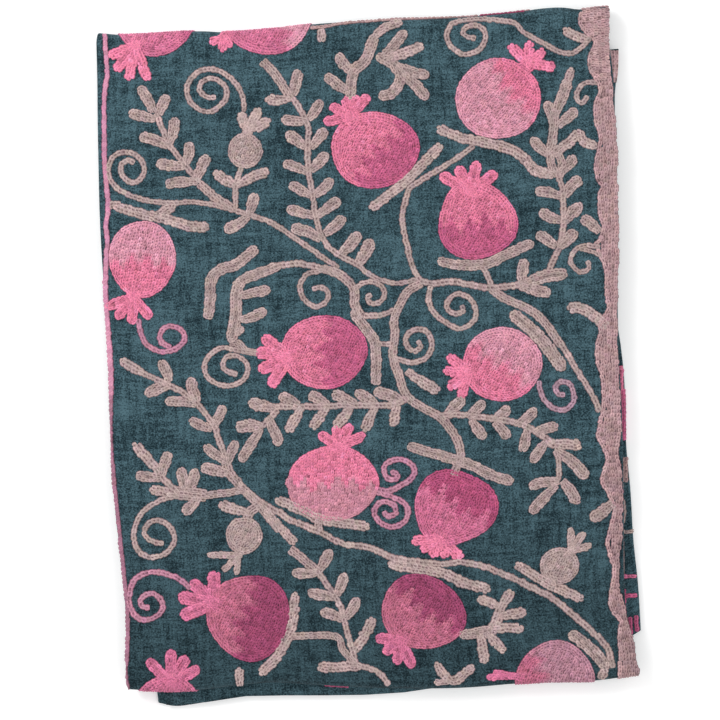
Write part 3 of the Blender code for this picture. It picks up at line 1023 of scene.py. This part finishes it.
# bars and bent leaves: width and middle line
bars = (
    (9.5, [(110.5, 203.5), (134, 212), (175, 221.5), (190, 226.5), (208, 226.5)]),
    (9, [(174, 205), (156, 218)]),
    (10.5, [(350, 98), (351.5, 80), (355, 69.5), (366, 59.5), (374.5, 35)]),
    (8, [(374, 37), (384.5, 28), (401.5, 21.5)]),
    (10.5, [(377, 56), (391.5, 63), (400, 73), (399, 84), (390.5, 94), (379, 96)]),
    (9.2, [(371, 208.5), (405, 181.5), (440.5, 146)]),
    (9.5, [(438, 128.5), (459, 137), (486, 142.5), (517, 152.5), (535, 170.5), (550.5, 174.5)]),
    (9, [(597, 146.5), (583.5, 142), (578.5, 133.5), (568, 143.5), (552, 155)]),
    (9.8, [(438, 260.5), (455.5, 264.5), (483.5, 264.5), (501.5, 257), (532.5, 242.5)]),
    (10.5, [(256, 248), (236, 265), (224, 267.5), (214, 275), (210.5, 283.5), (210.5, 298),
            (208, 319)]),
    (10, [(280, 265.5), (246, 278.5), (237, 288)]),
    (11.5, [(239, 281), (236, 298), (236, 317.5), (231, 341)]),
    (10, [(352.5, 311.5), (372, 337), (376, 352), (376, 384)]),
    (12.5, [(511.5, 313), (540, 338), (563, 369)]),
    (9.6, [(607, 327), (596.5, 317.5), (583.5, 309.5), (569, 307)]),
    (10, [(408, 446), (467, 463.5), (488.5, 474), (512, 481.5)]),
    (9.4, [(276, 499), (304, 511), (321, 519), (368, 526.5)]),
    (8.6, [(265, 510), (280.5, 528), (295, 543)]),
    (9.2, [(295, 593), (293.5, 616.5), (289.5, 632), (278, 655.5), (261, 673)]),
    (9.4, [(389, 564), (442.5, 573), (461.5, 582), (489, 589)]),
    (9.2, [(516, 564), (548, 583.5), (582, 598.5)]),
    (9.2, [(361, 666), (319, 667.5)]),
    (10, [(460, 634.5), (476, 633), (492, 629)]),
    (8.6, [(436, 663), (446, 677), (456, 680), (473, 666)]),
    (11, [(607, 668), (591, 649), (570, 632.5)]),
    (9.5, [(606, 670), (600, 678)]),
    (5.6, [(434, 682.5), (451, 681.5)]),
)
halfway = 300
startShare = {"bar": 0.94, "leaf": 0.66}
for width, points in bars:
    leaf("leaves_bottom" if points[0][1] > halfway else "leaves_top", fromPhoto(points), "beige",
         tip=width, base=width * startShare["bar"], bar=True)

# single leaves: where each starts and ends, and its width
leaves = (
    (154, 112, 140, 87.5, 10), (159, 114.5, 168, 96, 10.5), (155, 119, 130, 113, 10),
    (169, 143.5, 175.5, 118, 10.5), (168, 146, 140, 136.5, 10.5), (186, 163, 190, 142.5, 10.5),
    (185, 165.5, 157, 163, 10.5), (197, 178, 206.5, 156, 11), (197, 181.5, 166.5, 184, 10),
    (236, 186, 215.5, 172.5, 9.5), (237, 186, 267.5, 171.5, 9.5), (249.5, 214.5, 255, 193.5, 10.5),
    (248, 217, 225, 230.5, 10.5), (321, 30, 321.5, 41.5, 8.5), (352.5, 73, 337, 54.5, 10.5),
    (347.5, 91, 326, 75.5, 10.5), (383, 57, 405, 31.5, 10), (386.5, 58, 422, 46, 9.5),
    (396.5, 65, 428, 75.5, 10), (402, 74, 427, 99, 10.5), (293, 95, 298.5, 70.5, 10.5),
    (290.5, 98.5, 267, 99.5, 9.5), (309, 119, 321, 101, 10), (306.5, 121.5, 283, 119.5, 10),
    (311, 147.5, 325.5, 130, 10), (305, 147, 287, 133, 11), (311, 170.5, 327, 153.5, 10.5),
    (306.5, 171.5, 284.5, 163, 10), (315, 195, 332, 179, 10.5), (310.5, 194.5, 290.5, 184, 10),
    (317.5, 215.5, 339.5, 200, 10.5), (313.5, 215.5, 288, 209, 10), (325, 233.5, 344, 217, 10.5),
    (320.5, 238.5, 292, 227.5, 11), (341, 254, 359, 233.5, 12), (358, 264, 371, 240.5, 12),
    (588.5, 39.5, 564, 30.5, 9), (554, 117, 568, 80, 10.5), (566, 88, 572, 69, 8),
    (558, 125.5, 576, 110, 10), (553, 123, 547, 102.5, 10), (548, 155, 532, 138.5, 10.5),
    (560.5, 172, 575, 156, 10.5), (553, 175.5, 529.5, 166.5, 10), (560.5, 196, 536, 191, 10),
    (564.5, 196, 580.5, 178, 11), (560.5, 220.5, 540, 211.5, 10.5), (564.5, 222, 580.5, 204, 11),
    (556, 246.5, 537, 233.5, 10.5), (560, 247, 575.5, 231.5, 11), (600, 232, 582, 217.5, 11),
    (522, 284, 524.5, 259.5, 10.5), (521, 286, 565.5, 273.5, 12), (520, 286, 550.5, 293, 10.5),
    (241, 295.5, 269, 289.5, 10), (241, 320, 265.5, 310.5, 10), (237, 334, 243, 327, 7),
    (142.5, 372.5, 121.5, 361, 9.5), (169, 381, 160.5, 361, 10.5), (170.5, 384.5, 146, 394.5, 10.5),
    (197, 400.5, 191, 378.5, 11), (196, 404, 166.5, 401.5, 10), (214, 427, 223.5, 406.5, 10),
    (212, 428.5, 191, 420, 10), (229, 461, 236, 442, 10), (226.5, 461.5, 205.5, 446.5, 10),
    (275, 409, 249.5, 402.5, 11), (263, 426, 237, 427.5, 12), (260.5, 429.5, 241, 460.5, 10),
    (267.5, 417.5, 280, 444.5, 10.5), (298, 405, 279.5, 395.5, 10.5), (328, 405, 309, 394, 10.5),
    (355, 404, 333, 393, 10.5), (376, 404, 356, 391.5, 10.5), (402, 401, 374.5, 391.5, 11.5),
    (301.5, 407.5, 288, 431, 9.5), (327, 407.5, 312.5, 427.5, 9.5), (350.5, 407.5, 335.5, 426, 9.5),
    (374.5, 407.5, 365, 430, 9.5), (398, 405, 393, 425, 9.5), (406.5, 371, 438, 391, 9.6),
    (447.5, 413.5, 463, 398, 11), (468, 417.5, 483.5, 402, 10), (472, 420, 485, 438, 10.5),
    (494, 420, 509, 407, 10.5), (495, 422, 508, 438, 10.5), (517, 425, 535, 409.5, 10),
    (527, 430, 522, 450.5, 10), (535, 432.5, 556.5, 426, 10), (547.5, 443, 580, 445.5, 9.5),
    (545, 443, 532, 461, 10), (555, 450, 586.5, 477, 11.5), (558.5, 481, 530, 486.5, 10),
    (556, 485, 531, 512, 10), (562.5, 481, 577.5, 503, 11), (613, 503, 592, 519, 12),
    (159, 472, 135, 445.5, 9.5), (162, 475, 169, 453, 10), (160.5, 477.5, 137, 476, 10),
    (185, 489, 181, 468, 10.5), (189, 491.5, 195.5, 469.5, 11), (178.5, 495.5, 151, 490, 9.5),
    (198, 498, 183.5, 513, 10.5), (228, 473.5, 202, 467, 11), (249, 512.5, 220, 504.5, 9.5),
    (318.5, 571, 330, 550, 10.5), (317, 572.5, 293.5, 572.5, 10), (336.5, 594.5, 344.5, 573.5, 10.5),
    (334, 597, 309, 592, 10), (345.5, 618, 357.5, 598.5, 10.5), (342, 619, 321, 611.5, 10.5),
    (355, 650.5, 373, 619, 9.5), (498, 606, 479, 598, 9.5), (500.5, 609, 511.5, 591, 9.5),
    (500, 616, 525, 611.5, 9.5), (493, 629, 522, 629, 9.5), (486, 633, 503.5, 651, 9.5),
    (480.5, 635, 484.5, 662, 9.5), (240, 686, 240, 668, 8),
)
for ax, ay, bx, by, width in leaves:
    start, end = fromPhoto([(ax, ay), (bx, by)])
    bow = np.array([-(end - start)[1], (end - start)[0]])
    bow *= rng.uniform(-leafWork["bow"], leafWork["bow"])
    leaf("leaves_bottom" if ay > halfway else "leaves_top", [start, (start + end) / 2 + bow, end],
         "beige", tip=width, base=width * startShare["leaf"])

# the pink line beside the left fold, stouter at its top
edgeLines = (
    ("linePink", {"width": 4.6 * px, "pitch": 4.6 * px, "holeShade": 0.3},
     [(104.5, 34), (107, 71), (104.5, 98), (104.5, 158), (108, 205), (106, 225),
      (107.5, 240), (106, 262), (106, 298), (110.5, 359), (111.5, 395)]),
    ("lineMauve", {"width": 3.2 * px, "holeShade": 0.4},
     [(111.5, 395), (112, 452), (123.5, 567), (127.5, 606), (128, 645), (126.5, 671),
      (128.5, 690)]),
)
for colour, settings, points in edgeLines:
    chain("edge_line", curve(fromPhoto(points)), colour, **settings)

# the band: rows of mauve chain along the free edge, out to a scalloped line inside it
band = {
    "inner": [(579.5, 13), (578.5, 22), (583, 31), (589, 36.5), (594, 42), (588, 57.5),
              (589, 69), (598.5, 87), (596, 97), (593.5, 108), (594, 121), (598.5, 134),
              (598, 147), (594, 164.5), (596, 179), (601, 186), (598, 196), (599, 218),
              (602.5, 227), (597.5, 240), (594, 246), (602.5, 263), (605, 277), (605, 296),
              (607, 308), (598, 324), (599, 333), (595, 347), (596, 362), (600.5, 375),
              (602, 405), (597.5, 429), (596.5, 437), (604.5, 452.5), (606, 459.5), (600.5, 481),
              (607.5, 494), (612.5, 511), (606, 540), (607.5, 552), (612, 564), (612.5, 573),
              (608.5, 599), (610.5, 609.5), (615.5, 616.5), (619.5, 621), (617.5, 640),
              (619, 652), (618, 672)],
    "row": 3.4,
    "rows": 11,
    "crossEnd": 78.0,
    "dull": -80 * mm,
    "dullLit": 0.80,
    "lit": 0.92,
    "edgeLit": 0.97,
    "innerLit": 1.05,
    "swing": 0.35 * mm,
    "crossSwing": 0.8 * mm,
    "waves": 260,
    "crossWaves": 500,
    "crossRow": 0.92,
    "crossPoints": 9,
    "crossOut": 0.4 * mm,
    "pastEnds": (7 * mm, 6 * mm),
    "points": 900,
    "fewest": 12,
    "firstOut": 0.1,
    "drawn": 1.2,
    "links": {"pitch": 3.8 * px, "holeShade": 1.15, "uneven": 0.14, "loose": 1.5},
}


def bandRows():
    # rows at even steps in from the free edge, each kept only where the band is that wide,
    # then a lighter row that follows the inner line; the top corner is worked across instead
    inner = curve(fromPhoto(band["inner"]))
    below, above = band["pastEnds"]
    y = np.linspace(inner[:, 1].min() - below, inner[:, 1].max(), band["points"])
    order = np.argsort(inner[:, 1])
    innerX = np.interp(y, inner[order, 1], inner[order, 0])
    outerX = readTable(topPanel, 2, y)
    crossY = fromPhoto([(600, band["crossEnd"])])[0, 1]
    row = band["row"] * px
    low = y < crossY
    settings = dict(width=row * band["drawn"], **band["links"])
    for k in range(band["rows"]):
        x = outerX - row * (k + band["firstOut"])
        keep = low & (x - innerX > row)
        ends = np.nonzero(np.diff(np.concatenate([[0], keep.astype(int), [0]])))[0]
        for a, b in zip(ends[::2], ends[1::2]):
            if b - a <= band["fewest"]:
                continue
            wave = band["swing"] * np.sin(y[a:b] * band["waves"] + k)
            path = np.stack([x[a:b] + wave, y[a:b]], -1)
            # the lower part of the band is duller
            dull = path[:, 1] < band["dull"]
            for part, lit in ((path[dull], band["dullLit"]),
                              (path[~dull], band["lit" if k else "edgeLit"])):
                if len(part) > band["fewest"]:
                    chain("band", part, "mauve", lit=lit, **settings)
    inside = np.stack([innerX + row / 2, y], -1)
    chain("band", inside, "mauve", lit=band["innerLit"], **settings)
    count = band["crossPoints"]
    for level in np.arange(crossY, y.max() + above, row * band["crossRow"]):
        a, b = np.interp(level, y, innerX), np.interp(level, y, outerX)
        across = np.linspace(a + row, b + band["crossOut"], count)
        wave = np.sin(np.linspace(0, 4, count) + level * band["crossWaves"])
        wave = band["crossSwing"] * wave
        chain("band", np.stack([across, level + wave], -1), "mauve", **settings)


bandRows()
# what the vine's rows and a fruit's edge show along the top fold
for colour, width, points in (
    ("pinkBeige", 3.6, [(311, 28), (326, 26.5), (341, 23.5), (370, 21), (400, 19), (430, 18),
                        (455, 17), (478, 15.5)]),
    ("crimson", 3.4, [(480, 15), (500, 13), (524, 11)]),
    ("pinkBeige", 3.2, [(508, 10.5), (520, 9.8), (530, 9)]),
):
    strip("vines", points, colour, width)


# the flaps' backs, seen past the top panel: piece, thread, width and middle line
beyond = (
    # the first two rows use the mauve with painted light, lighter than the band's thread
    ("inner_flap", "flapMauvePaintedLight", 11.5, [(614, 50), (614, 66), (613.5, 81)]),
    ("inner_flap", "flapMauvePaintedLight", 3.2, [(613.5, 89), (614, 122)]),
    ("inner_flap", "magenta", 3.2, [(616.5, 298), (617, 318)]),
    ("under_flap", "hotPink", 6.5, [(621, 366), (621.5, 390)]),
    ("under_flap", "magenta", 8.8, [(623, 390), (624, 414), (623.5, 440)]),
    ("under_flap", "pinkBeige", 6.8, [(624.5, 458), (625, 482)]),
    ("under_flap", "beige", 5.0, [(623.5, 501), (624.5, 512), (623.5, 523)]),
    ("under_flap", "beige", 3.6, [(621, 532), (634, 532.5)]),
    ("under_flap", "rose", 3.4, [(617, 574), (624, 574)]),
    ("under_flap", "rose", 3.6, [(623.5, 577), (636, 577)]),
    ("under_flap", "magenta", 4.2, [(620, 597.5), (637.5, 596)]),
    ("under_flap", "magenta", 3.2, [(625.5, 590), (625, 617)]),
    ("under_flap", "magenta", 4.4, [(631, 618), (631.5, 634)]),
    ("under_flap", "magenta", 4.4, [(637, 617), (637.5, 632)]),
    ("under_flap", "beige", 2.2, [(623.5, 483), (623, 500), (623.5, 530), (624, 560), (624, 592)]),
    ("under_flap", "magenta", 2.6, [(325, 686), (348, 687.5)]),
    ("under_flap", "pinkBeige", 2.2, [(369, 687), (379, 687)]),
)
for piece, colour, width, points in beyond:
    strip(piece, points, colour, width)


pressedTo = 0.22


def underneath(x, y, h):
    # the cloth's right side again under the packet: the same work turned over, pressed flat
    y = bottomLine(x) + topLine(x) - y
    start, end = topLine(x), readTable(underEnd, 1, x)
    fb = np.clip((y - start) / (end - start), 0, 1)
    left, free = sectionEdges(np.full(np.shape(x), underPart), fb)[:2]
    fa = np.clip((x - free) / (left - free), 0, 1)
    pressed = (h - cloth["thick"] / 2) * pressedTo
    return fold(firstPanel, fa, underPart, fb, pressed + cloth["thick"] / 2)


turnedOver = ("pomegranates_top", "pomegranates_bottom", "buds", "vines", "leaves_top",
              "leaves_bottom")
made["underside"] = [group for name in turnedOver for group in made[name]]


def onBack(alongCode, acrossCode):
    # a place for stitches seen from behind, on a flap that looks out beyond the top panel
    def place(x, y, h):
        x, y, h = np.broadcast_arrays(x, y, h)
        if alongCode == innerPart:
            start, end = readTable(innerEnd, 1, x), bottomLine(x)
        else:
            start, end = topLine(x), readTable(underEnd, 1, x)
        fb = np.clip((y - start) / (end - start), 0, 1)
        along = np.full(x.shape, alongCode)
        left, free, right, inner = sectionEdges(along, fb)
        if acrossCode == firstPanel:
            fa = np.clip((x - free) / (left - free), 0, 1)
            return fold(acrossCode, fa, along, fb, -h)
        # beyond the right fold's start the stitches go round it
        over = (x - right) / (sideRadius * math.pi)
        across = np.where(over > 0, rightFold, thirdPanel)
        flat = np.clip((x - right) / (inner - right), 0, 1)
        fa = np.where(over > 0, 1 - np.clip(over, 0, 1), flat)
        return fold(across, fa, along, fb, -h)
    return place


def stitchedPiece(name, groups, template, material, place):
    # every link is the same small grid, laid out at its own place, turn, length and width,
    # then carried round the folds
    arrays = {key: np.concatenate([g[key] for g in groups]) for key in groups[0]}
    count = len(arrays["turn"])
    at, b = np.meshgrid(template["at"], template["across"], indexing="ij")
    rows, columns = at.shape
    middleColumn = (b == 0).astype(float)
    edge = (np.abs(b) >= 1).astype(float)
    wide = np.array(template["wide"])[:, None] * b
    tall = (np.array(template["strand"])[:, None] * (1 - middleColumn)
            + np.array(template["middle"])[:, None] * middleColumn) * (1 - edge)
    # painted shade: dark where the loop is open, and along its edges, where it sinks into the ground
    hollow = (np.array(template["hollow"])[:, None] * middleColumn).ravel()
    rim = (template["rim"] * edge).ravel()
    along = (at.ravel()[None] - 0.5) * arrays["length"][:, None]
    side = wide.ravel()[None] * arrays["width"][:, None] / 2
    high = tall.ravel()[None] * arrays["tall"][:, None] - edge.ravel()[None] * template["sunk"]
    c, s = np.cos(arrays["turn"])[:, None], np.sin(arrays["turn"])[:, None]
    x = arrays["here"][:, :1] + c * along - s * side
    y = arrays["here"][:, 1:] + s * along + c * side
    points = place(x, y, high + cloth["thick"] / 2).reshape(-1, 3)
    index = np.arange(rows * columns).reshape(rows, columns)
    top = gridFaces(rows, columns)[:, ::-1]
    # the underside of a link is one strip of quads between its two long edges
    under = np.stack([index[:-1, 0], index[:-1, -1], index[1:, -1], index[1:, 0]], 1)[:, ::-1]
    quads = np.concatenate([top, under])
    faces = (quads[None] + np.arange(count)[:, None, None] * rows * columns).reshape(-1, 4)
    piece = putMesh(name, points, faces, material)
    # each point's painted shade goes into the colour's alpha
    dark = np.clip(arrays["holeShade"][:, None] * hollow[None] + rim[None], 0, 1)
    tone = np.repeat(arrays["tone"][:, None], rows * columns, 1)
    tone = np.concatenate([tone, dark[..., None]], -1)
    layer = piece.data.attributes.new("thread", "FLOAT_COLOR", "POINT")
    layer.data.foreach_set("color", np.ascontiguousarray(tone, np.float32).ravel())
    # each link lies elsewhere in the yarn's pattern
    start = rng.uniform(0, yarn["strewn"], (count, 1))
    putUv(piece, "stitch", np.stack([along + start, side + start], -1).reshape(-1, 2))
    print(name, count, "links", len(faces) * 2, "triangles")
    return piece


wool = threadMaterial()
places = {
    "under_flap": onBack(underPart, thirdPanel),
    "inner_flap": onBack(innerPart, firstPanel),
    "underside": underneath,
}
pieces = []
for name, groups in made.items():
    template = flatLink if name == "underside" else link
    pieces.append(stitchedPiece(name, groups, template, wool, places.get(name, onTop)))

# a light table, so that the background stays white as in the photo
table = {
    "half": 3.0,
    "down": -0.3 * mm,
    "surface": {"Base Color": (0.9, 0.9, 0.9, 1), "Roughness": 0.9,
                "Emission Color": (1, 1, 1, 1), "Emission Strength": 0.25},
}
acrylic, tree, shader = newMaterial("back-lit white acrylic")
setInputs(tree, shader, table["surface"])
corners = [(x, y, table["down"]) for x, y in ((-table["half"], -table["half"]),
                                             (table["half"], -table["half"]),
                                             (table["half"], table["half"]),
                                             (-table["half"], table["half"]))]
floor = putMesh("floor", np.array(corners), np.array([[0, 1, 2, 3]]), acrylic)
for piece in [clothPiece, *pieces]:
    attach(piece, "root")
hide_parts("folded_cloth")

world = bpy.data.worlds.new("soft daylight")
bpy.context.scene.world = world
world.use_nodes = True
sky = world.node_tree
daylight = {"Color": (1, 1, 1, 1), "Strength": 0.75}
setInputs(sky, sky.nodes["Background"], daylight)


def areaLight(name, place, size, power):
    # a square light that faces the cloth
    data = bpy.data.lights.new(name, "AREA")
    data.size = size
    data.energy = power
    light = bpy.data.objects.new(name, data)
    light.location = place
    x, y, z = place
    light.rotation_euler = (math.atan2(math.hypot(x, y), z), 0, math.atan2(x, -y))
    bpy.context.scene.collection.objects.link(light)


# places and sizes in metres, powers in watts
lights = {
    "window": ((-1.3, 1.1, 1.4), 0.9, 22),
    "fill": ((1.4, -0.9, 1.8), 1.4, 8),
}
for name, (place, size, power) in lights.items():
    areaLight(name, place, size, power)

# straight above the photo's middle, and turned as the packet is turned in the photo
view = {"height": 3.0, "sensor": 36.0, "pixel": (360, 360), "across": 720, "far": 20}
camera = bpy.data.cameras.new("camera")
camera.sensor_width = view["sensor"]
camera.lens = view["sensor"] * (view["height"] - pileTop) / (view["across"] * px)
camera.clip_end = view["far"]
eye = bpy.data.objects.new("camera", camera)
middleX, middleY = fromPhoto(view["pixel"])
eye.location = (middleX - cloth["middle"][0], middleY - cloth["middle"][1], view["height"])
eye.rotation_euler = (0, 0, -photo["turn"])
bpy.context.scene.collection.objects.link(eye)
bpy.context.scene.camera = eye
bpy.context.scene.view_settings.view_transform = "Standard"
